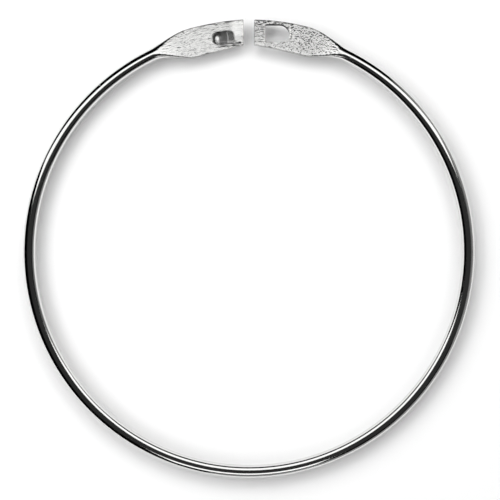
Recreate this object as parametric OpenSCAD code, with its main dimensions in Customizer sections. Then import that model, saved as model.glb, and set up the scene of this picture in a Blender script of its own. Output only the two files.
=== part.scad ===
// Bib ring: one length of round spring wire, bent to an open ring and pressed flat at both ends.
// One end has a slot, the other a peg. Sprung together, the slot drops over the peg and locks.
// The ring lies flat, +Z up, with the middle of the gap on +Y and the peg end on -X.
// The origin is the middle of the ring, at half the height of the wire.

/* [Ring] */
// Diameter of the ring over the outside of the wire
ring_od = 175; // [140:1:260]
// Diameter of the wire
wire_d = 5; // [4.6:0.1:6]
// Open space between the two cut ends
end_gap = 4; // [1:0.5:15]

/* [Pressed ends] */
// Length of a pressed end, from its cut to the untouched round wire
end_len = 35; // [32:1:45]
// Length of the neck, where the round wire runs out into the flat
neck_len = 17; // [10:1:17]
// Thickness of the pressed flat
flat_t = 1.85; // [1.6:0.05:2.1]
// How much narrower the flat is at its cut than at its widest
cut_taper = 1.4; // [0:0.1:2]
// How far the peg end has spread towards the middle of the ring
peg_end_lean = 0.7; // [0:0.1:1]
// How far the slot end has spread towards the middle of the ring
slot_end_lean = 0.3; // [0:0.1:1]
// Radius on the corners of a cut end
corner_r = 0.5; // [0.3:0.1:1]

/* [Peg] */
// Length of the peg along the wire
peg_len = 8.8; // [7.5:0.1:10]
// Height of the peg over the flat
peg_h = 1.55; // [1:0.05:2.5]
// Space from the cut end to the foot of the peg's ramp
peg_setback = 3.7; // [2:0.1:6]
// How far the middle of the peg lies inside the middle of the wire
peg_in = 1.1; // [0:0.1:1.5]
// Length of the ramp that leads the other end up over the peg
ramp_len = 2.5; // [1.5:0.1:3.5]
// Height of the toe at the foot of the ramp
ramp_toe = 0.25; // [0.1:0.05:0.5]
// Radius of the rounded lock, seen from the side
lock_r = 2.6; // [1.8:0.1:3]
// Radius on the peg's corners at the ramp, seen from above
peg_corner_r = 1.3; // [0.5:0.1:1.4]
// Radius along the peg's long shoulders
shoulder_r = 0.7; // [0.3:0.1:0.9]

/* [Slot] */
// Bar of metal left between the slot and the cut end
slot_bar = 4.3; // [2.5:0.1:6]
// Rail of metal left along the outside of the slot
outer_rail = 1.2; // [1:0.1:2]
// Rail of metal left along the inside of the slot
inner_rail = 2.8; // [1.5:0.1:3]
// Play between the peg and the slot, at each end of the peg
end_play = 0.3; // [0.2:0.1:1.5]
// Play between the peg and the slot, on each side of the peg
side_play = 1; // [0.2:0.1:1]
// Radius on the slot's two corners at the bar
slot_corner_r = 0.7; // [0.4:0.1:1.5]

/* [Hidden] */

// Pressing moves the metal and removes none, so each pressed section keeps the area of the wire.
// A section is a rectangle with half-round sides: area = width * t - (1 - PI / 4) * t^2.
side_loss = 1 - PI / 4;
wire_area = PI / 4 * wire_d ^ 2;
flat_w = wire_area / flat_t + side_loss * flat_t;

mean_r = (ring_od - wire_d) / 2;
flat_len = end_len - neck_len;
// The cut faces are parallel, half the gap each from the ring's middle plane.
cut_angle = asin(end_gap / 2 / mean_r);

// The loft of a pressed end starts a little inside the round wire and a little thinner than it.
lap = 0.5;
lap_scale = 0.98;
// Spacing of the loft's stations along the wire, and the points on each half-round side
station_gap = 1.5;
side_points = 9;
corner_steps = 4;
// How far a cutter runs past the faces that it cuts
past = 1;
round_fn = 96;

peg_mid = peg_setback + peg_len / 2;
slot_len = peg_len + 2 * end_play;
slot_mid = slot_bar + slot_len / 2;
slot_out = edge_at(slot_mid, 1, slot_end_lean) - outer_rail;
slot_in = edge_at(slot_mid, -1, slot_end_lean) - inner_rail;
slot_w = slot_out + slot_in;
// The far end of the slot is rounded more on the outside of the ring than on the inside.
far_out_r = 0.58 * slot_w;
far_in_r = 0.36 * slot_w;

peg_w = slot_w - 2 * side_play;
peg_top = flat_t / 2 + peg_h;
// The wire end of the peg is all but a full round.
peg_wire_r = 0.48 * peg_w;
// The lock's arc is level where it meets the crown, and comes down to the flat at the peg's end.
lock_run = sqrt(peg_h * (2 * lock_r - peg_h));
lock_turn = acos(1 - peg_h / lock_r);
lock_steps = 8;

function ease(u) = u <= 0 ? 0 : u >= 1 ? 1 : u * u * (3 - 2 * u);

// Share of the full spread that a pressed end has reached, s from its cut
function spread(s) = ease((end_len - s) / neck_len);

// Share of the cut's taper that is left, s from the cut
function taper(s) = s >= flat_len ? 0 : 1 - sin(90 * s / flat_len);

function width_at(s) = wire_d + (flat_w - wire_d) * spread(s) - cut_taper * taper(s);

function thickness_at(s) = s <= flat_len ? flat_t : let (w = width_at(s))
    (w - sqrt(w ^ 2 - 4 * side_loss * wire_area)) / (2 * side_loss);

// Distance from the wire's middle to an edge of the flat: side is 1 outside the ring, -1 inside it
function edge_at(s, side, lean) = width_at(s) / 2 - side * lean * (spread(s) - taper(s));

// What the rounded corner takes off each edge, s from the cut
function corner_at(s) = s >= corner_r ? 0 : corner_r - sqrt(corner_r ^ 2 - (corner_r - s) ^ 2);

// Angle of a place on the wire, clockwise from +Y, and the angle that its section is turned to
function place_angle(s) = cut_angle + s / mean_r * 180 / PI;
function turn_angle(s) = place_angle(s) - cut_angle * max(0, 1 - s / end_len);

// One half-round side of a section, from its lower to its upper edge, as [outward, up] from the edge
function half_round(t) = let (step = 180 / side_points, last = 90 - step / 2)
    [for (a = [-last : step : last + step / 2]) t / 2 * [cos(a) - 1, sin(a) / sin(last)]];

// A whole section, with k to draw it smaller about its own middle
function section(s, lean, k) = let (
    t = thickness_at(s) * k,
    out = (edge_at(s, 1, lean) - corner_at(s)) * k,
    inn = (edge_at(s, -1, lean) - corner_at(s)) * k,
    side = half_round(t))
    concat([for (p = side) [out + p[0], p[1]]],
           [for (p = side) [-inn - p[0], -p[1]]]);

function on_wire(s, p) = let (a = place_angle(s), b = turn_angle(s))
    [mean_r * sin(a) + p[0] * sin(b), mean_r * cos(a) + p[0] * cos(b), p[1]];

// A pressed end, on the +X side of the gap, lofted through its sections
module pressed_end(lean) {
    flat_run = flat_len - corner_r;
    flat_count = ceil(flat_run / station_gap);
    neck_run = neck_len - lap;
    neck_count = ceil(neck_run / station_gap);
    stations = concat(
        [for (i = [0 : corner_steps - 1]) corner_r * (1 - cos(90 * i / corner_steps))],
        [for (i = [0 : flat_count - 1]) corner_r + flat_run * i / flat_count],
        [for (i = [0 : neck_count]) flat_len + neck_run * i / neck_count]);
    lap_ring = [for (p = section(end_len, lean, lap_scale)) on_wire(end_len + lap, p)];
    rings = concat([for (s = stations) for (p = section(s, lean, 1)) on_wire(s, p)], lap_ring);
    n = 2 * side_points;
    last = len(stations) * n;
    walls = [for (i = [0 : len(stations) - 1]) for (j = [0 : n - 1])
        let (a = i * n + j, b = i * n + (j + 1) % n)
        each [[b, a, a + n], [b, a + n, b + n]]];
    cut_face = [for (j = [0 : n - 1]) j];
    lap_face = [for (j = [n - 1 : -1 : 0]) last + j];
    polyhedron(rings, concat([cut_face], walls, [lap_face]));
}

// Moves to a place on a pressed end: x runs along the wire from the cut, y out of the ring
module at_place(s) {
    translate([mean_r * sin(place_angle(s)), mean_r * cos(place_angle(s)), 0])
        rotate([0, 0, -turn_angle(s)]) children();
}

module rounded_rect(size, r) {
    for (x = [-1, 1], y = [-1, 1])
        translate([x * (size[0] / 2 - r), y * (size[1] / 2 - r)]) circle(r, $fn = round_fn);
    square([size[0], size[1] - 2 * r], center = true);
    square([size[0] - 2 * r, size[1]], center = true);
}

// A plan whose corners have their own radii: r lists them anticlockwise from the far outside corner
module rounded_plan(size, r) {
    x = size[0] / 2;
    y = size[1] / 2;
    polygon([
        [x, y - r[0]], [x - r[0], y],
        [r[1] - x, y], [-x, y - r[1]],
        [-x, r[2] - y], [r[2] - x, -y],
        [x - r[3], -y], [x, r[3] - y]]);
    translate([x - r[0], y - r[0]]) circle(r[0], $fn = round_fn);
    translate([r[1] - x, y - r[1]]) circle(r[1], $fn = round_fn);
    translate([r[2] - x, r[2] - y]) circle(r[2], $fn = round_fn);
    translate([x - r[3], r[3] - y]) circle(r[3], $fn = round_fn);
}

// The slot is punched square to the cut, while the wire already curves away.
module slot_cut() {
    mid = end_gap / 2 + slot_mid;
    translate([mid, sqrt(mean_r ^ 2 - mid ^ 2) + (slot_out - slot_in) / 2, -flat_t / 2 - past])
        linear_extrude(flat_t + 2 * past)
            rounded_plan([slot_len, slot_w], [far_out_r, slot_corner_r, slot_corner_r, far_in_r]);
}

// Side view of the peg: a ramp from the cut, a level crown, and a rounded lock towards the wire
module peg_side() {
    crown_end = peg_len / 2 - lock_run;
    lock_arc = [for (i = [0 : lock_steps]) let (a = lock_turn * i / lock_steps)
        [crown_end + lock_r * sin(a), peg_top - lock_r * (1 - cos(a))]];
    polygon(concat(
        [[-peg_len / 2, 0], [-peg_len / 2, flat_t / 2 + ramp_toe], [-peg_len / 2 + ramp_len, peg_top]],
        lock_arc,
        [[peg_len / 2, 0]]));
}

// End view of the peg, with rounded shoulders
module peg_front() {
    translate([0, (peg_top - shoulder_r) / 2]) rounded_rect([peg_w, peg_top + shoulder_r], shoulder_r);
}

module peg() {
    at_place(peg_mid) translate([0, -peg_in, 0]) intersection() {
        linear_extrude(peg_top + past)
            rounded_plan([peg_len, peg_w], [peg_wire_r, peg_corner_r, peg_corner_r, peg_wire_r]);
        translate([0, peg_w, 0]) rotate([90, 0, 0]) linear_extrude(2 * peg_w) peg_side();
        translate([-peg_len, 0, 0]) rotate([90, 0, 90]) linear_extrude(2 * peg_len) peg_front();
    }
}

module round_wire() {
    start = place_angle(end_len);
    rotate([0, 0, 90 + start]) rotate_extrude(angle = 360 - 2 * start, $fn = 2 * round_fn)
        translate([mean_r, 0]) circle(d = wire_d, $fn = round_fn);
}

module wire_ring() {
    color("silver") union() {
        round_wire();
        difference() {
            pressed_end(slot_end_lean);
            slot_cut();
        }
        mirror([1, 0, 0]) {
            pressed_end(peg_end_lean);
            peg();
        }
    }
}

wire_ring();
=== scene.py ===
from math import asin, cos, degrees, exp, pi, radians, sin, sqrt

import bmesh
import bpy
from mathutils import Matrix, Vector


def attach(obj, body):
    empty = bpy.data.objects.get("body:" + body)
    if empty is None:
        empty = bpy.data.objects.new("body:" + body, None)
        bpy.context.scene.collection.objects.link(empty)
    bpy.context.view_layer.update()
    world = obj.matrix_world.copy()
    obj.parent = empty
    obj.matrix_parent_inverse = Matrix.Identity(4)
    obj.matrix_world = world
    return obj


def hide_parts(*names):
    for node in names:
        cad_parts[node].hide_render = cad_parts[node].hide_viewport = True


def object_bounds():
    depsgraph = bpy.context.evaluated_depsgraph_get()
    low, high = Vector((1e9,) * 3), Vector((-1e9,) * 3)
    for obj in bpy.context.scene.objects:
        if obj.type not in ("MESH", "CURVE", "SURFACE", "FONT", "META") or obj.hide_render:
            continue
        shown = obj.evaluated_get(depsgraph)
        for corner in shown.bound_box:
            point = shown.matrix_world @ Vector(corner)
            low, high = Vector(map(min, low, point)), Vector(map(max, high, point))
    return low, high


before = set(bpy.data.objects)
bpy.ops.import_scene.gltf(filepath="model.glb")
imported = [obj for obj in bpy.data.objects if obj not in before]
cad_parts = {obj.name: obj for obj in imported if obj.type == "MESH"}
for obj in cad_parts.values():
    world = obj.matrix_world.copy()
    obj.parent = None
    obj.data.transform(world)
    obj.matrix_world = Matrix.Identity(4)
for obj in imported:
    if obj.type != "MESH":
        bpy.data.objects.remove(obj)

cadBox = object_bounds()
mm = 0.001  # sizes below are in mm unless a note says otherwise, and Blender's are in metres
print("frame loaded, sides in mm:", [round((b - a) / mm, 2) for a, b in zip(*cadBox)])


class Wired:  # an output in a node tree that can be written into an ordinary formula
    def __init__(self, tree, socket):
        self.tree = tree
        self.socket = socket

    def run(self, operation, *others, clamp=False):
        node = self.tree.nodes.new("ShaderNodeMath")
        node.operation = operation
        node.use_clamp = clamp
        for socket, value in zip(node.inputs, (self, *others)):
            feed(self.tree, socket, value)
        return Wired(self.tree, node.outputs[0])

    def __add__(self, other):
        return self.run("ADD", other)

    def __sub__(self, other):
        return self.run("SUBTRACT", other)

    def __mul__(self, other):
        return self.run("MULTIPLY", other)

    def __truediv__(self, other):
        return self.run("DIVIDE", other)

    def __rsub__(self, other):
        return (self * -1) + other

    def __rtruediv__(self, other):
        return self.run("POWER", -1) * other

    __radd__ = __add__
    __rmul__ = __mul__

    def clamped(self):
        return self.run("ADD", 0, clamp=True)

    def least(self, other):
        return self.run("MINIMUM", other)

    def most(self, other):
        return self.run("MAXIMUM", other)

    def root(self):
        return self.most(0).run("SQRT")

    def above(self, other):
        return self.run("GREATER_THAN", other)

    def sine(self):
        return self.run("SINE")

    def cosine(self):
        return self.run("COSINE")

    def size(self):
        return self.run("ABSOLUTE")

    def between(self, low, high):  # 0 to 1 from low to high, with a soft start and a soft stop
        return ((self - low) / (high - low)).eased()

    def eased(self):
        u = self.clamped()
        return u * u * (3 - 2 * u)


def feed(tree, socket, value):
    if isinstance(value, Wired):
        tree.links.new(value.socket, socket)
    elif isinstance(value, bpy.types.NodeSocket):
        tree.links.new(value, socket)
    else:
        socket.default_value = value


def addNode(tree, kind, settings=(), **inputs):
    node = tree.nodes.new(kind)
    for name, value in dict(settings).items():
        setattr(node, name, value)
    for name, value in inputs.items():
        feed(tree, node.inputs[name.replace("_", " ")], value)
    return node


def point(tree, x, y, z):
    return Wired(tree, addNode(tree, "ShaderNodeCombineXYZ", X=x, Y=y, Z=z).outputs[0])


def ownPlace(tree):  # x, y and z of a place on the object, in metres
    spot = addNode(tree, "ShaderNodeTexCoord").outputs["Object"]
    return [Wired(tree, o) for o in addNode(tree, "ShaderNodeSeparateXYZ", Vector=spot).outputs]


def noise(tree, place, scale=1.0, detail=3.0, rough=0.5, seed=0.0):
    node = addNode(tree, "ShaderNodeTexNoise", {"noise_dimensions": "4D"},
                   Vector=place, W=seed, Scale=scale, Detail=detail, Roughness=rough)
    return Wired(tree, node.outputs[0])


def byEnd(onSlotEnd, pair):  # the first value on the peg end, the second on the slot end
    return pair[0] + (pair[1] - pair[0]) * onSlotEnd


def blend(share, off, on):
    return off * (1 - share) + on * share


# The ring is one wire, swept round and pressed flat at both ends. Pressing keeps the area of its section.
ring = {
    "Ring diameter": 175.0,       # over the outside of the wire
    "Wire diameter": 5.0,
    "End gap": 4.0,
    "End length": 37.0,           # from a cut to the untouched round wire
    "Neck length": 17.0,
    "Flat thickness": 1.8,
    "Cut taper": 1.4,             # how much narrower a flat is at its cut
    "Peg end lean": 1.2,          # how far a flat has spread towards the middle of the ring
    "Slot end lean": 0.6,
    "Corner radius": 0.5,
    "Edge radius": 0.22,          # the softened edge of a sheared cut
    "Edge fullness": 0.8,         # 0 is a half-round edge, 0.8 a nearly square one
    "Crinkle height": 0.14,       # press marks on the flats
    "Crinkle length": 0.5,
    "Peg end cant": 0.02,         # slope of a flat across the wire: outer edge up
    "Slot end cant": 0.015,       # outer edge down
    "Worn slope": 0.22,           # slope of the worn lines along the peg end's inner margin
    "Wire wave": 0.012,           # how far the wire's skin is from a true round
    "Seed": 4.0,
}
ringMesh = {"around": 112, "cutRows": 7, "endRows": 190, "wireRows": 110}
pressMarks = {
    # the first three are pairs, for the peg end and the slot end
    "short": (0.5, 2.2),          # share of short marks
    "drawn": (1.5, 0.4),          # share of marks drawn out along the wire
    "depth": (1.2, 1.85),
    "shortLength": 1.25,          # how far the marks are drawn out along the wire
    "drawnLength": 5.0,
    "drawnCross": 1.6,            # and how much the drawn ones are squeezed across it
    "rise": 0.6,                  # below 1 the marks come up early in the neck
    "edgeFade": 0.75,             # how much of the marks is lost on the edges
    "cutFade": 0.5,               # they come up over this length from the cut
    "tip": (3.4, 5.2),            # the peg end's tip is smooth: it ends between these, from the cut
    "tipInside": (-1.6, -0.4),    # and between these across the flat
    "tipFade": 0.9,
    "wornLines": ((-3.55, 0.4), (-4.55, 0.8)),  # where a worn line starts across the flat, and its width
    "wornFrom": (0.4, 1.2),       # along the wire, from the cut
    "wornTo": (9, 13),
    "waves": (9, 5),              # size of the round wire's own waves, along it and around it
}

meanR = (ring["Ring diameter"] - ring["Wire diameter"]) / 2
cutAngle = asin(ring["End gap"] / 2 / meanR)
flatLen = ring["End length"] - ring["Neck length"]
sideLoss = 1 - pi / 4             # a section with half-round sides lacks this share of its thickness squared
wireArea = pi / 4 * ring["Wire diameter"] ** 2
flatT = ring["Flat thickness"]
flatW = wireArea / flatT + sideLoss * flatT


def straightTube(tree, size, rowTotal):  # with a row for each station and a column for each place around it
    index = Wired(tree, tree.nodes.new("GeometryNodeInputIndex").outputs[0])
    spine = addNode(tree, "GeometryNodeCurvePrimitiveLine")
    spine = addNode(tree, "GeometryNodeResampleCurve", Curve=spine.outputs[0], Count=rowTotal)
    hoop = addNode(tree, "GeometryNodeCurvePrimitiveCircle", Resolution=size["around"])
    marked = []
    for label, curve in (("row", spine), ("column", hoop)):
        keep = tree.nodes.new("GeometryNodeCaptureAttribute")
        keep.capture_items.new("FLOAT", label)
        tree.links.new(curve.outputs[0], keep.inputs[0])
        feed(tree, keep.inputs[1], index)
        marked.append(keep)
    tube = addNode(tree, "GeometryNodeCurveToMesh", Curve=marked[0].outputs[0],
                   Profile_Curve=marked[1].outputs[0], Fill_Caps=True)
    return tube, *(Wired(tree, keep.outputs[1]) for keep in marked)


def fromCut(size, radius, cutTurn, steps):  # distance from the cut, where the rows crowd together
    corner, endLen = size["Corner radius"], size["End length"]
    nearCut = corner * (1 - (steps / size["cutRows"] * (pi / 2)).cosine())
    onFlat = corner + (endLen - corner) * (steps - size["cutRows"]) / (size["endRows"] - size["cutRows"])
    halfRing = (pi - cutTurn) * radius
    onWire = endLen + (halfRing - endLen) * (steps - size["endRows"]) / size["wireRows"]
    isCut = 1 - steps.above(size["cutRows"])
    isWire = steps.above(size["endRows"])
    return nearCut * isCut + onWire * isWire + onFlat * (1 - isCut) * (1 - isWire)


def roundedOff(radius, s):  # what a rounded corner takes off at a distance from the cut
    short = (radius - s).most(0)
    return radius - (radius * radius - short * short).root()


def relief(tree, size, s, across, up, onSlotEnd, spread, tilt, rimSmoothPaintedHighlight):
    # how far the skin stands out: press marks in the flats, and a faint wave in the round wire
    along = s * (onSlotEnd * 2 - 1)
    scale, seed = 1 / size["Crinkle length"], size["Seed"]
    shortPlace = point(tree, along / pressMarks["shortLength"], across, up)
    short = noise(tree, shortPlace, scale, detail=2.5, rough=0.55, seed=seed) - 0.5
    drawnPlace = point(tree, along / pressMarks["drawnLength"], across * pressMarks["drawnCross"], up)
    drawn = noise(tree, drawnPlace, scale, detail=2.0, rough=0.5, seed=seed + 3) - 0.5
    marks = short * byEnd(onSlotEnd, pressMarks["short"]) + drawn * byEnd(onSlotEnd, pressMarks["drawn"])
    marks = marks * size["Crinkle height"] * spread.run("POWER", pressMarks["rise"])
    marks = marks * byEnd(onSlotEnd, pressMarks["depth"])
    tip = (1 - onSlotEnd) * (1 - s.between(*pressMarks["tip"])) * across.between(*pressMarks["tipInside"])
    marks = marks * (1 - tip * pressMarks["tipFade"]) * (1 - tilt.sine() * pressMarks["edgeFade"])
    marks = marks * (s / pressMarks["cutFade"]).clamped() * (1 - rimSmoothPaintedHighlight * onSlotEnd)
    waveLong, waveRound = pressMarks["waves"]
    wavePlace = point(tree, along / waveLong, across / waveRound, up / waveRound)
    wave = noise(tree, wavePlace, detail=1.0, rough=0.5, seed=seed + 8) - 0.5
    return marks + wave * size["Wire wave"] * 2 * (1 - spread)


def ringTree(finish):
    tree = bpy.data.node_groups.new("pressedRing", "GeometryNodeTree")
    tree.interface.new_socket("Ring", in_out="OUTPUT", socket_type="NodeSocketGeometry")
    for kind, values in (("NodeSocketFloat", ring), ("NodeSocketInt", ringMesh)):
        for name, value in values.items():
            tree.interface.new_socket(name, in_out="INPUT", socket_type=kind).default_value = value
    given = tree.nodes.new("NodeGroupInput")
    size = {name: Wired(tree, given.outputs[name]) for name in (*ring, *ringMesh)}
    wire, thin, endLen = size["Wire diameter"], size["Flat thickness"], size["End length"]
    radius = (size["Ring diameter"] - wire) / 2
    cutTurn = (size["End gap"] / 2 / radius).run("ARCSINE")
    straight = endLen - size["Neck length"]
    area = wire * wire * (pi / 4)
    wide = area / thin + thin * sideLoss

    rowTotal = (size["endRows"] + size["wireRows"]) * 2 + 1
    tube, row, column = straightTube(tree, size, rowTotal)
    half = (rowTotal - 1) / 2
    onSlotEnd = (row - half).above(0)
    s = fromCut(size, radius, cutTurn, half - (row - half).size())

    # the pressed section: the width gives the thickness, because the area stays that of the round wire
    spread = ((endLen - s) / size["Neck length"]).eased()
    taper = 1 - (s / straight * (pi / 2)).least(pi / 2).sine()
    width = wire + (wide - wire) * spread - size["Cut taper"] * taper
    worked = (width - (width * width - area * (4 * sideLoss)).root()) / (2 * sideLoss)
    onNeck = s.above(straight)
    thick = thin * (1 - onNeck) + worked * onNeck - 2 * roundedOff(size["Edge radius"], s)
    width = width - 2 * roundedOff(size["Corner radius"], s)
    lean = byEnd(onSlotEnd, (size["Peg end lean"], size["Slot end lean"])) * (spread - taper)

    # around the section by even arc length, from the middle of the upper face
    turn = column / size["around"] * 2 - 1
    flatHalf = (width - thick) / 2
    roundLen = thick * (pi / 2)
    run = turn.size() * (flatHalf * 2 + roundLen)
    out = turn.above(0) * 2 - 1
    tilt = ((run - flatHalf) / thick * 2).most(0).least(pi)
    past = (run - flatHalf - roundLen).most(0)
    bluff = 1 - spread * size["Edge fullness"]
    level = tilt.cosine()
    fullSide = tilt.sine().most(0).run("POWER", bluff)
    fullUp = level.size().run("POWER", bluff) * (level.above(0) * 2 - 1)
    across = out * (run.least(flatHalf) - past + thick / 2 * fullSide)
    up = thick / 2 * fullUp

    placeTurn = cutTurn + s / radius
    rimSmoothPaintedHighlight = smoothRimPaintedHighlight((radius + across) * placeTurn.sine(), (radius + across) * placeTurn.cosine())
    skin = relief(tree, size, s, across, up, onSlotEnd, spread, tilt, rimSmoothPaintedHighlight)
    across = across + out * tilt.sine() * skin - lean
    cant = byEnd(onSlotEnd, (size["Peg end cant"], size["Slot end cant"] * -1))
    up = up + level * skin + across * cant * spread
    worn = (1 - onSlotEnd) * s.between(*pressMarks["wornFrom"]) * (1 - s.between(*pressMarks["wornTo"]))
    for start, wornWidth in pressMarks["wornLines"]:
        up = up - worn * level.most(0) * (start - across).most(0).least(wornWidth) * size["Worn slope"]

    # onto the ring, clockwise from the middle of the gap; the two cut faces are parallel
    faceTurn = placeTurn - cutTurn * (1 - s / endLen).most(0)
    x = (radius * placeTurn.sine() + across * faceTurn.sine()) * (onSlotEnd * 2 - 1)
    y = radius * placeTurn.cosine() + across * faceTurn.cosine()
    spot = point(tree, x * mm, y * mm, up * mm)
    bent = addNode(tree, "GeometryNodeSetPosition", Geometry=tube.outputs[0], Position=spot)
    smooth = addNode(tree, "GeometryNodeSetShadeSmooth", Geometry=bent.outputs[0])
    real = addNode(tree, "GeometryNodeRealizeInstances", Geometry=smooth.outputs[0])
    dressed = addNode(tree, "GeometryNodeSetMaterial", Geometry=real.outputs[0], Material=finish)
    tree.links.new(dressed.outputs[0], tree.nodes.new("NodeGroupOutput").inputs[0])
    return tree


def spreadAt(s):
    u = max(0, min(1, (ring["End length"] - s) / ring["Neck length"]))
    return u * u * (3 - 2 * u)


def edgeAt(s, side, lean):  # from the wire's middle to an edge of the flat: 1 is outside, -1 inside
    taper = 0 if s >= flatLen else 1 - sin(pi / 2 * s / flatLen)
    width = ring["Wire diameter"] + (flatW - ring["Wire diameter"]) * spreadAt(s) - ring["Cut taper"] * taper
    return width / 2 - side * lean * (spreadAt(s) - taper)


def onEnd(s, shift, hand):  # frame of a place on an end: x along the wire from the cut, y out of the ring
    a = cutAngle + s / meanR
    b = a - cutAngle * max(0, 1 - s / ring["End length"])
    middle = Vector((meanR * sin(a) + shift * sin(b), meanR * cos(a) + shift * cos(b), 0))
    turned = Matrix.Translation(middle) @ Matrix.Rotation(-b, 4, "Z")
    return Matrix.Scale(mm, 4) @ Matrix.Scale(hand, 4, Vector((1, 0, 0))) @ turned


def roundedOutline(length, width, radii, grow, cornerSteps=22, sideSteps=1):
    # closed outline, counter-clockwise, with its radii from the far outside corner on; grow is by direction
    leastRadius = 0.03
    arcs = []
    for (x, y, first), r in zip(((1, 1, 0), (-1, 1, 90), (-1, -1, 180), (1, -1, 270)), radii):
        arc = []
        for i in range(cornerSteps + 1):
            a = radians(first + 90 * i / cornerSteps)
            grown = max(r + grow(a), leastRadius)
            shift = grow(a) - grown
            middle = Vector((x * (length / 2 + shift), y * (width / 2 + shift)))
            arc.append(middle + Vector((grown * cos(a), grown * sin(a))))
        arcs.append(arc)
    points = []
    for arc, following in zip(arcs, arcs[1:] + arcs[:1]):
        points += arc + [arc[-1].lerp(following[0], i / sideSteps) for i in range(1, sideSteps)]
    return points


def asObject(name, mesh, finish):
    data = bpy.data.meshes.new(name)
    mesh.to_mesh(data)
    mesh.free()
    data.materials.append(finish)
    made = bpy.data.objects.new(name, data)
    bpy.context.scene.collection.objects.link(made)
    return made


def loftLoops(name, loops, place, finish):
    mesh = bmesh.new()
    rows = [[mesh.verts.new(place @ Vector(p)) for p in loop] for loop in loops]
    for low, high in zip(rows, rows[1:]):
        for i in range(len(low)):
            j = (i + 1) % len(low)
            mesh.faces.new((low[i], low[j], high[j], high[i]))
    mesh.faces.new(list(reversed(rows[0])))
    mesh.faces.new(rows[-1])
    bmesh.ops.remove_doubles(mesh, verts=mesh.verts, dist=2e-6)
    bmesh.ops.recalc_face_normals(mesh, faces=mesh.faces)
    return asObject(name, mesh, finish)


def baked(made):  # the object with its modifiers worked into a plain mesh
    depsgraph = bpy.context.evaluated_depsgraph_get()
    data = bpy.data.meshes.new_from_object(made.evaluated_get(depsgraph))
    made.modifiers.clear()
    made.data = data
    return made


slot = {
    "bar": 4.3,                   # metal left between the slot and the cut
    "length": 9.4,
    "outerRail": 1.2,
    "innerRail": 2.8,
    "cornerRadius": 0.7,
    "farOutside": 0.58,           # radii of the far corners, as shares of the slot's width
    "farInside": 0.36,
    "rollover": 0.04,             # how far the punch drew the upper edge in
    "innerRollover": 0.04,        # and how much further along the inside of the ring
    "rolloverDepth": 0.05,
    "rolloverSteps": 6,
    "wallLean": 0.25,             # how far the outer wall leans in towards the underside
    "burrEdge": 0.1,              # height of the edge that broke away below
    "burrReach": 0.3,
    "flare": (0.06, 0.3),         # to clear the press marks, the cutter widens: height over the flat, reach
    "past": 1.0,                  # how far it runs past both faces
    "shineInset": 0.28,           # from the slot's edge to the middle of its smoothed rim, where a highlight is painted
    "shineFade": (0.12, 0.32),
    "shineFrom": (8, 14),         # along x, where the rim's smoothing and painted highlight come up
}
peg = {
    "setback": 3.7,               # from the cut to the foot of the ramp
    "length": 8.8,
    "height": 1.55,               # over the flat
    "inward": 1.5,                # from the middle of the wire
    "sidePlay": 1.0,              # between the peg and the slot, on each side
    "rampLength": 2.5,
    "toe": 0.25,
    "toeRise": 0.72,              # the toe comes up steeply before the ramp proper
    "toeLength": 0.75,
    "cornerRadius": 1.3,
    "outerCorner": 2.1,
    "wireEnd": 0.48,              # radius of the wire end, as a share of the peg's width
    "shoulder": 0.5,
    "lockRadius": 2.6,
    "fall": 0.105,                # slope of the crown, down towards the outside of the ring
    "spot": (2.3, 0.45, 0.75, 0.16),  # a raised spot on the crown: x, y, reach, height
    "footSteps": ((0.14, -0.5), (0.14, -0.05), (0.06, 0.02), (0.02, 0.09)),  # its fillet: reach, height
    "foot": 0.18,                 # height at which the fillet ends
    "leastRise": 0.1,             # no part of the peg is lower than this over the flat
}
pegMesh = {"sideSteps": 25, "shoulderRows": 7, "crownRows": 9, "middleStrip": 0.1}


def slotPlan():  # the slot's middle, its width and its corners' radii
    lean = ring["Slot end lean"]
    s = slot["bar"] + slot["length"] / 2
    outer = edgeAt(s, 1, lean) - slot["outerRail"]
    inner = edgeAt(s, -1, lean) - slot["innerRail"]
    width = outer + inner
    mid = ring["End gap"] / 2 + s
    near = slot["cornerRadius"]
    radii = (slot["farOutside"] * width, near, near, slot["farInside"] * width)
    return mid, sqrt(meanR ** 2 - mid ** 2) + (outer - inner) / 2, width, radii


def smoothRimPaintedHighlight(x, y):  # 1 along the slot's inner rim and far inside corner, where the flat is smoothed and a highlight is painted into its colour
    midX, midY, width, radii = slotPlan()
    r = radii[3]
    right = (x - (midX + slot["length"] / 2 - r)).most(0)
    down = (y - (midY - width / 2 + r)).least(0)
    off = ((right * right + down * down).root() - r - slot["shineInset"]).size()
    return (1 - off.between(*slot["shineFade"])) * x.between(*slot["shineFrom"])


def slotCutter(finish):
    mid, midY, width, radii = slotPlan()
    top, burr, past = flatT / 2, slot["burrEdge"], slot["past"]
    flareRise, flareReach = slot["flare"]

    def level(height, rolled=0.0, extra=0.0, lean=0.0):  # rolled is the share of the rollover
        def grow(a):
            roll = slot["rollover"] + slot["innerRollover"] * max(0, -sin(a))
            return rolled * roll + extra - lean * max(0, sin(a))
        return [(x, y, height) for x, y in roundedOutline(slot["length"], width, radii, grow)]

    loops = [level(-top - past, extra=slot["burrReach"]), level(-top - burr, extra=slot["burrReach"]),
             level(-top + burr, lean=slot["wallLean"])]
    for i in range(slot["rolloverSteps"] + 1):
        a = pi / 2 * (1 - i / slot["rolloverSteps"])
        loops.append(level(top - slot["rolloverDepth"] * (1 - cos(a)), rolled=1 - sin(a)))
    loops += [level(top + rise, rolled=1, extra=flareReach) for rise in (flareRise, past)]
    square = Matrix.Translation((mid, midY, 0))
    return loftLoops("slotCutter", loops, Matrix.Scale(mm, 4) @ square, finish), width


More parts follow.
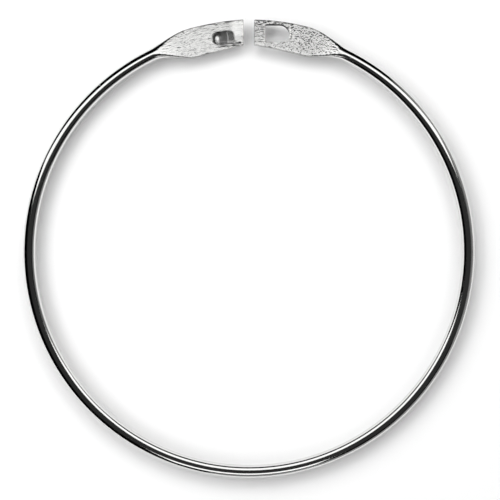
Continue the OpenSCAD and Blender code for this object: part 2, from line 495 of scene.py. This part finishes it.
def pegPiece(width, finish):
    half, top, tall = peg["length"] / 2, flatT / 2, peg["height"]
    r, lockRadius, toeLength = peg["shoulder"], peg["lockRadius"], peg["toeLength"]
    crownEnd = half - sqrt(tall * (2 * lockRadius - tall))
    knee = peg["toe"] + peg["toeRise"]
    spotX, spotY, spotReach, spotRise = peg["spot"]

    def heightAt(x, y):
        fromFoot = x + half
        if fromFoot < toeLength:
            front = peg["toe"] + peg["toeRise"] * sin(pi / 2 * max(0, fromFoot) / toeLength)
        else:
            front = knee + (tall - knee) * (fromFoot - toeLength) / (peg["rampLength"] - toeLength)
        beyond = max(0, x - crownEnd)
        lock = tall - lockRadius + sqrt(max(0, lockRadius ** 2 - beyond ** 2))
        fall = peg["fall"] * max(0, width / 2 + y)
        spot = spotRise * exp(-((x - spotX) ** 2 + (y - spotY) ** 2) / (2 * spotReach ** 2))
        return max(0, min(front, lock, tall) - fall + spot)

    def plan(grow):
        wireEnd = peg["wireEnd"] * width
        radii = (wireEnd, peg["outerCorner"], peg["cornerRadius"], wireEnd)
        return roundedOutline(peg["length"], width, radii, lambda a: grow, sideSteps=pegMesh["sideSteps"])

    loops = [[(x, y, top + rise) for x, y in plan(reach)] for reach, rise in peg["footSteps"]]
    loops.append([(x, y, top + max(peg["leastRise"], min(peg["foot"], heightAt(x, y)))) for x, y in plan(0)])
    rows, more = pegMesh["shoulderRows"], pegMesh["crownRows"]
    insets = [r * (1 - cos(pi / 2 * i / rows)) for i in range(rows + 1)]
    insets += [r + (width / 2 - pegMesh["middleStrip"] - r) * i / more for i in range(1, more + 1)]
    for inset in insets:
        drop = 1 - sqrt(1 - max(0, 1 - inset / r) ** 2)  # share of the shoulder's radius still to rise
        row = []
        for x, y in plan(-inset):
            rise = heightAt(x, y)
            row.append((x, y, top + max(peg["leastRise"] + 0.01, rise - min(r, rise) * drop)))
        loops.append(row)
    return loftLoops("pegForm", loops, onEnd(peg["setback"] + half, -peg["inward"], -1), finish)


plating = {
    # bright plated spring wire, satin where it is pressed; pairs are for the peg end and the slot end
    "colour": (0.78, 0.78, 0.77, 1),
    "darkest": (0.025, 0.025, 0.027, 1),
    "endShade": (0.16, 0.2),
    "paintedCrownDarker": 0.64,         # painted shade on the peg's crown, which stands in for the dark that its top reflects
    "fineDarker": 0.5,
    "scratchDarker": 0.05,
    "nickDarker": 0.5,
    "wireRoughness": 0.07,
    "flatRoughness": (0.17, 0.2),
    "crownRoughness": 0.25,
    "wallRoughness": 0.5,
    "wireCloud": 0.06,            # cloud and grain: how much the roughness varies
    "flatCloud": 0.2,
    "flatGrain": 0.3,
    "crownGrain": 0.08,
    "scratchRougher": 0.12,
    "nickRougher": 0.3,
    "fineRelief": 0.05,           # depths in mm
    "streakRelief": (0.05, 0.01),
    "raspRelief": (0, 0.03),
    "drawRelief": 0.0012,
    "nickDepth": 0.05,
    "nickFloor": 0.35,            # share of a nick that is its floor
    "scratchPlace": (0.35, 2.0, 7.0),  # how scratches run: along the wire, slanting out, around
    "scratchShare": (0.63, 0.68),
    "nicks": ((-62.0, 60, 0.5), (-74.5, 20, 0.35), (41.0, 100, 0.3)),  # along in mm, around in degrees, size
}
grains = {
    # noise in the plating: length along the wire, squeeze across it, scale, detail, roughness, seed
    "fine": (1.4, 1.0, 2.6, 4.0, 0.6, 2.0),
    "streaks": (7.0, 2.2, 1.6, 3.0, 0.6, 5.0),
    "rasp": (1.0, 1.0, 1.9, 2.0, 0.5, 21.0),
    "cloud": (6.0, 1.0, 0.35, 3.0, 0.5, 9.0),
    "drawn": (40.0, 9.0, 1.5, 2.0, 0.6, 12.0),  # lines from the drawing die, squeezed around the wire
}
zones = {
    # in mm, where each zone of the finish fades in or out; along the wire the peg end is minus
    "pressed": (flatLen + 6, ring["End length"] + 1),
    "raised": (flatT / 2 + 0.08, flatT / 2 + 0.2),
    "pegEnds": (14, 16),
    "paintedCrownFrom": (-12.1, -11.6),
    "paintedCrownTo": (-8.75, -8.45),
    "wallHeight": (0.72, 0.8),    # the slot's walls: up or down, across the wire, along it
    "wallAcross": (4.25, 4.4),
    "wallAlong": (17, 17.5),
    "upperFace": 0.5,
}


def platedWire():
    material = bpy.data.materials.new("platedSpringWire")
    material.use_nodes = True
    tree = material.node_tree
    shader = tree.nodes["Principled BSDF"]
    x, y, z = (part / mm for part in ownPlace(tree))
    along = x.run("ARCTAN2", y) * meanR                  # 0 in the gap, plus towards the slot end
    out = (x * x + y * y).root() - meanR
    around = z.run("ARCTAN2", out)
    fromGap = along.size()
    onSlotEnd = along.above(0)

    pressed = 1 - fromGap.between(*zones["pressed"])
    raised = z.between(*zones["raised"]) * (1 - fromGap.between(*zones["pegEnds"]))
    # painted shade: the peg's crown is darkened in colour, in place of the dark reflection on its top
    paintedCrownShade = raised * along.between(*zones["paintedCrownFrom"]) * (1 - along.between(*zones["paintedCrownTo"]))
    # the slot's walls are rougher and painted nearly black: partly the duller sheared steel, partly painted
    # shade in the slot
    inWall = (1 - z.size().between(*zones["wallHeight"])) * (1 - out.size().between(*zones["wallAcross"]))
    inWall = inWall * (1 - fromGap.between(*zones["wallAlong"]))
    satin = pressed * (1 - raised)
    rimSmoothPaintedHighlight = smoothRimPaintedHighlight(x, y) * z.above(zones["upperFace"]) * satin
    tipFrom, tipTo = (ring["End gap"] / 2 + s for s in pressMarks["tip"])
    offTip = fromGap.between(tipFrom, tipTo).most(1 - out.between(*pressMarks["tipInside"]))

    def grain(kind, across, up):
        length, squeeze, scale, detail, roughness, seed = grains[kind]
        return noise(tree, point(tree, along / length, across * squeeze, up), scale, detail, roughness, seed)

    fine, streaks, rasp, cloud = (grain(kind, out, z) for kind in ("fine", "streaks", "rasp", "cloud"))
    drawn = grain("drawn", around, 0)
    lengthways, slant, sideways = plating["scratchPlace"]
    scratchPlace = point(tree, along * lengthways + out * slant, around * sideways, 0)
    scratches = noise(tree, scratchPlace, 1.1, detail=5.0, rough=0.75, seed=15.0)
    scratches = scratches.between(*plating["scratchShare"])
    nick = 0
    for place, turn, size in plating["nicks"]:
        ahead = along - place
        aside = (around - radians(turn)) * (ring["Wire diameter"] / 2)
        far = (ahead * ahead + aside * aside).root()
        nick = (1 - far.between(size * plating["nickFloor"], size)).most(nick)

    wireRough = plating["wireRoughness"] + cloud * plating["wireCloud"]
    wireRough = wireRough + scratches * plating["scratchRougher"] + nick * plating["nickRougher"]
    flatRough = byEnd(onSlotEnd, plating["flatRoughness"])
    flatRough = flatRough + (fine - 0.5) * plating["flatGrain"] + (cloud - 0.5) * plating["flatCloud"]
    crownRough = plating["crownRoughness"] + (fine - 0.5) * plating["crownGrain"]
    rough = blend(raised, blend(satin, wireRough, flatRough), crownRough)
    feed(tree, shader.inputs["Roughness"], blend(inWall, rough, plating["wallRoughness"]))

    shade = 1 - nick * plating["nickDarker"] - scratches * plating["scratchDarker"] * (1 - pressed)
    shade = shade - (0.5 - fine).most(0) * satin * plating["fineDarker"]
    pegEndShade, slotEndShade = plating["endShade"]
    dull = byEnd(onSlotEnd, (offTip * pegEndShade, slotEndShade)) * satin
    # painted highlight: along the slot's rim the colour is taken up to the full plating colour, and the bumps
    # are left out
    shade = blend(rimSmoothPaintedHighlight, shade - dull, 1)
    shade = shade * (1 - inWall) * (1 - paintedCrownShade * plating["paintedCrownDarker"])
    tint = addNode(tree, "ShaderNodeMix", {"data_type": "RGBA"})
    tint.inputs[6].default_value = plating["darkest"]
    tint.inputs[7].default_value = plating["colour"]
    feed(tree, tint.inputs[0], shade.clamped())
    tree.links.new(tint.outputs[2], shader.inputs["Base Color"])
    shader.inputs["Metallic"].default_value = 1.0

    flatRelief = fine * plating["fineRelief"] + streaks * byEnd(onSlotEnd, plating["streakRelief"])
    flatRelief = flatRelief + rasp * byEnd(onSlotEnd, plating["raspRelief"])
    height = blend(satin, drawn * plating["drawRelief"], (1 - rimSmoothPaintedHighlight) * flatRelief)
    height = height - nick * plating["nickDepth"]
    bump = addNode(tree, "ShaderNodeBump", Strength=1.0, Distance=mm, Height=height)
    tree.links.new(bump.outputs[0], shader.inputs["Normal"])
    return material


joining = {"sweepWeld": 1e-7, "cutWeld": 5e-7, "sharpFrom": 38}  # metres, metres, degrees

finish = platedWire()
print("finish made")

holder = bpy.data.objects.new("ringVisual", bpy.data.meshes.new("ringStart"))
bpy.context.scene.collection.objects.link(holder)
tree = ringTree(finish)
sweep = holder.modifiers.new("sweep", "NODES")
sweep.node_group = tree
for item in tree.interface.items_tree:
    if item.in_out == "INPUT":
        sweep[item.identifier] = {**ring, **ringMesh}[item.name]
ringVisual = baked(holder)
print("ring swept:", len(ringVisual.data.polygons), "faces")

shape = bmesh.new()
shape.from_mesh(ringVisual.data)
bmesh.ops.remove_doubles(shape, verts=shape.verts, dist=joining["sweepWeld"])
bmesh.ops.recalc_face_normals(shape, faces=shape.faces)
shape.to_mesh(ringVisual.data)
shape.free()

cutter, slotWidth = slotCutter(finish)
pegForm = pegPiece(slotWidth - 2 * peg["sidePlay"], finish)
for tool, operation in ((cutter, "DIFFERENCE"), (pegForm, "UNION")):
    step = ringVisual.modifiers.new(operation.lower(), "BOOLEAN")
    step.solver = "EXACT"
    step.operation = operation
    step.object = tool
baked(ringVisual)
for tool in (cutter, pegForm):
    bpy.data.objects.remove(tool)

shape = bmesh.new()
shape.from_mesh(ringVisual.data)
bmesh.ops.remove_doubles(shape, verts=shape.verts, dist=joining["cutWeld"])
bmesh.ops.dissolve_degenerate(shape, edges=shape.edges, dist=joining["sweepWeld"])
for face in shape.faces:
    face.smooth = True
openEdges = 0
for side in shape.edges:
    openEdges += not side.is_manifold
    side.smooth = not (side.is_manifold and side.calc_face_angle(0) > radians(joining["sharpFrom"]))
shape.to_mesh(ringVisual.data)
shape.free()
print("slot cut and peg joined:", len(ringVisual.data.polygons), "faces,", openEdges, "open edges")

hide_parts("wire_ring")
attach(ringVisual, "root")


studio = {
    # radii and heights in metres
    "sides": 96,
    "sheetRadius": 0.5,
    "sheetColour": (0.96, 0.96, 0.96, 1),
    "sheetGlow": 0.02,
    "edgeGlow": 0.5,              # the table's glow comes up to this towards its edge, to meet the backdrop
    "glowFrom": 0.15,
    "wallRadius": 3.2,
    "wallHeight": 0.95,
    "surroundGlow": 1.0,
}
view = {"x": 0.00043, "y": 0.00078, "height": 0.400, "frameWidth": 0.19370}  # metres


def paper(name, colour, glow, edgeGlow=0.0):  # the glow is for the camera and for reflections only
    material = bpy.data.materials.new(name)
    material.use_nodes = True
    tree = material.node_tree
    shader = tree.nodes["Principled BSDF"]
    shader.inputs["Base Color"].default_value = colour
    shader.inputs["Roughness"].default_value = 0.9
    shader.inputs["Specular IOR Level"].default_value = 0.0
    shader.inputs["Emission Color"].default_value = (1, 1, 1, 1)
    path = tree.nodes.new("ShaderNodeLightPath")
    seen = Wired(tree, path.outputs["Is Camera Ray"])
    for ray in ("Is Glossy Ray", "Is Transmission Ray"):
        seen = seen.most(Wired(tree, path.outputs[ray]))
    x, y, z = ownPlace(tree)
    outward = (x * x + y * y).root().between(studio["glowFrom"], studio["sheetRadius"])
    feed(tree, shader.inputs["Emission Strength"], seen * (glow + outward * edgeGlow))
    return material


def circle(mesh, radius, height):
    turns = [2 * pi * i / studio["sides"] for i in range(studio["sides"])]
    return [mesh.verts.new((radius * cos(a), radius * sin(a), cadBox[0].z + height)) for a in turns]


sheet = bmesh.new()
sheet.faces.new(circle(sheet, studio["sheetRadius"], 0))
tablePaper = paper("tableWhite", studio["sheetColour"], studio["sheetGlow"], studio["edgeGlow"])
floor = asObject("table", sheet, tablePaper)
surround = bmesh.new()
rims = [(studio["sheetRadius"], 0), (studio["wallRadius"], 0), (studio["wallRadius"], studio["wallHeight"])]
rows = [circle(surround, radius, height) for radius, height in rims]
for inner, outer in zip(rows, rows[1:]):
    for i in range(studio["sides"]):
        surround.faces.new((inner[i - 1], outer[i - 1], outer[i], inner[i]))
backdrop = asObject("backdrop", surround, paper("backdropWhite", (0, 0, 0, 1), studio["surroundGlow"]))
backdrop.visible_glossy = False

mirrored = {
    # bright panels that the metal shows: x, y, z, half width and half depth in metres,
    # bearing and tilt in degrees, brightness
    "northBox": (-0.012, 0.089, 0.170, 0.215, 0.076, -3, 68, 1.30),
    "southBox": (-0.010, -0.200, 0.150, 0.078, 0.036, 176, 34, 1.4),
    "eastLow": (0.218, 0.102, 0.050, 0.112, 0.052, 65, 90, 0.31),
    "eastSouthLow": (0.218, -0.102, 0.050, 0.112, 0.052, 115, 90, 0.31),
    "southLow": (0.062, -0.232, 0.045, 0.112, 0.047, 165, 90, 0.31),
    "eastHigh": (0.243, 0.010, 0.155, 0.120, 0.055, 88, 90, 0.15),
    "ceiling": (0.0, 0.0, 0.47, 0.36, 0.36, 0, 0, 0.03),
}
shadowRing = {
    # soft boxes all round, stronger on one side, that throw the shadows
    "count": 8,
    "strongest": -38,             # degrees
    "rows": ((30, 2.05, 0.92), (55, 0.28, 0.3)),  # height in degrees, strength, how much one side is favoured
    "distance": 1.5,              # metres
    "halfWidth": 0.62,
    "halfHeight": 0.36,
}


def panel(name, place, halfWidth, halfDepth, bearing, tilt, brightness, isMirrored):
    light = bpy.data.lights.new(name, "AREA")
    light.shape = "RECTANGLE"
    light.size = 2 * halfWidth
    light.size_y = 2 * halfDepth
    light.energy = brightness * pi * light.size * light.size_y
    lamp = bpy.data.objects.new(name, light)
    lamp.location = place
    lamp.rotation_euler = (radians(tilt), 0, pi - radians(bearing))
    lamp.visible_camera = False
    lamp.visible_glossy = isMirrored
    lamp.visible_diffuse = not isMirrored
    if isMirrored:  # the metal throws no image of it back onto the table
        light.use_nodes = True
        tree = light.node_tree
        depth = Wired(tree, tree.nodes.new("ShaderNodeLightPath").outputs["Diffuse Depth"])
        feed(tree, tree.nodes["Emission"].inputs["Strength"], 1 - depth.clamped())
    bpy.context.scene.collection.objects.link(lamp)


for name, (x, y, z, halfWidth, halfDepth, bearing, tilt, brightness) in mirrored.items():
    panel(name, (x, y, z), halfWidth, halfDepth, bearing, tilt, brightness, True)
for up, strength, share in shadowRing["rows"]:
    for i in range(shadowRing["count"]):
        turn = 2 * pi * i / shadowRing["count"]
        b, u = radians(shadowRing["strongest"]) + turn, radians(up)
        place = Vector((sin(b) * cos(u), cos(b) * cos(u), sin(u))) * shadowRing["distance"]
        panel("shadowBox%d.%d" % (up, i), place, shadowRing["halfWidth"], shadowRing["halfHeight"],
              degrees(b), 90 - up, strength * (1 + share * cos(turn)), False)

world = bpy.data.worlds.new("darkStudio")
world.use_nodes = True
world.node_tree.nodes["Background"].inputs[0].default_value = (0, 0, 0, 1)
bpy.context.scene.world = world

lens = bpy.data.cameras.new("overhead")
lens.sensor_width = 36
lens.lens = lens.sensor_width * view["height"] / view["frameWidth"]
camera = bpy.data.objects.new("overhead", lens)
camera.location = (view["x"], view["y"], view["height"])
bpy.context.scene.collection.objects.link(camera)
bpy.context.scene.camera = camera
bpy.context.scene.view_settings.view_transform = "Standard"
print("studio set")
